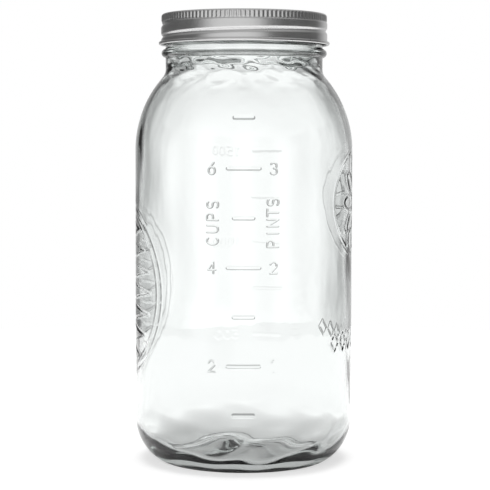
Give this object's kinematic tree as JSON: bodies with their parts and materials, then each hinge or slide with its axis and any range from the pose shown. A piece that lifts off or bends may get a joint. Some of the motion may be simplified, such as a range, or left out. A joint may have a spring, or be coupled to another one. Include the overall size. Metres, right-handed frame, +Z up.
{
  "type": "screw-top storage jar",
  "caption": "Clear glass wide-mouth jar with a two-piece metal screw closure and a moulded fill scale, for a starter culture or preserves.",
  "frame": {"origin": "centre of the base on the plane that the jar stands on", "axes": "+Z up along the jar's axis, -Y out of the side with the cup and pint scale, +X to the right of that scale as it is read"},
  "size_m": [0.1156, 0.1164, 0.2368],
  "materials": {
    "clear_glass": "clear pressed glass, gloss",
    "disc_tinplate": "satin tinplate",
    "band_tinplate": "satin tinplate with a rolled grain",
    "sealing_compound": "matt flowed-in compound"
  },
  "bodies": {
    "glass": {"jar": "clear_glass"},
    "lid": {"lid_disc": "disc_tinplate", "sealing_ring": "sealing_compound"},
    "band": {"screw_band": "band_tinplate"}
  },
  "joints": [
    {"name": "lid_lift", "type": "slide", "parent": "glass", "child": "lid", "axis": [0, 0, 1], "range_m": [0, 0.0254]},
    {"name": "band_turn", "type": "hinge", "parent": "lid", "child": "band", "pos_m": [0, 0, 0.2285], "axis": [0, 0, 1], "range_deg": [0, 1440]}
  ],
  "couplings": [
    {"joint": "lid_lift", "follows": "band_turn", "m_per_rad": 0.0010106}
  ]
}
